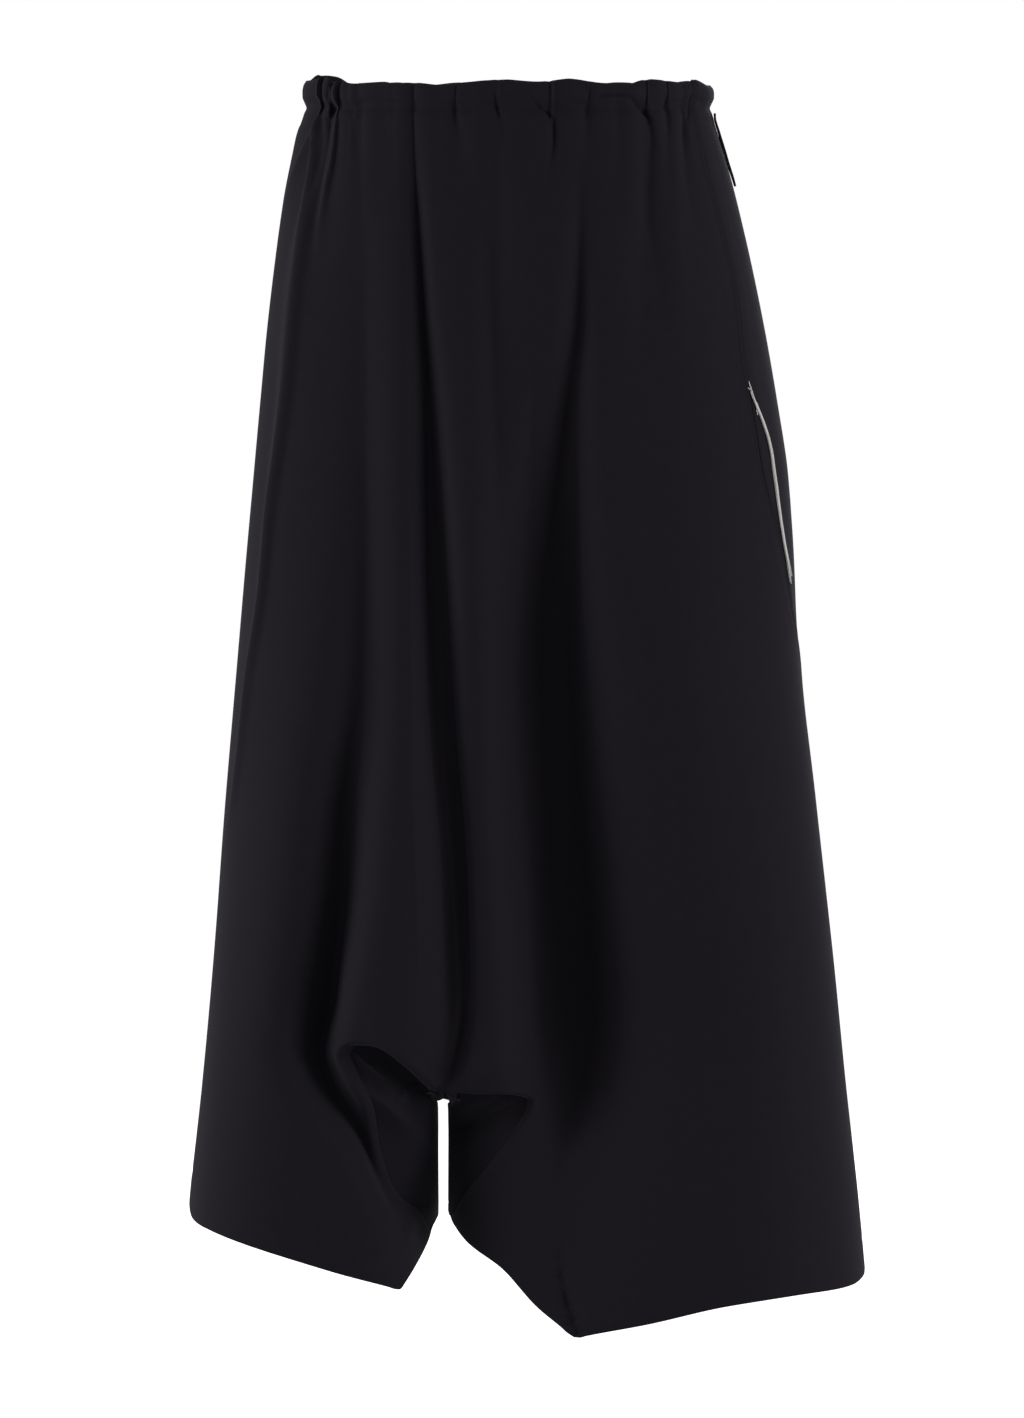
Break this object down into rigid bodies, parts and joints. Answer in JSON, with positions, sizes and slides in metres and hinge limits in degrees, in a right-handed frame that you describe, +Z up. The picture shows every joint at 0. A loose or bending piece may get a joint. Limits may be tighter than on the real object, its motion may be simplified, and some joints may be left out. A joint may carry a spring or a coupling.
{
  "type": "harem pants",
  "caption": "Black harem pants with a gathered elastic waist, a very low off-centre crotch drape and slanted hems on one short and one long leg.",
  "frame": {"origin": "middle of the waist, in the middle of the waistband, where the wearer holds the garment up", "axes": "+Z up, -Y the wearer's front, +X the wearer's left, on the side of the long leg"},
  "size_m": [0.4728, 0.2598, 0.8756],
  "materials": {
    "black_wool": "matt wool gabardine",
    "black_tape": "matt woven tape",
    "white_thread": "matt cotton basting thread"
  },
  "bodies": {
    "root": {"front_short_leg": "black_wool", "front_long_leg": "black_wool", "back_short_leg": "black_wool", "back_long_leg": "black_wool", "waistband": "black_wool", "pocket_facing": "black_wool", "waist_tie": "black_tape", "thread_tail": "white_thread"}
  },
  "joints": []
}
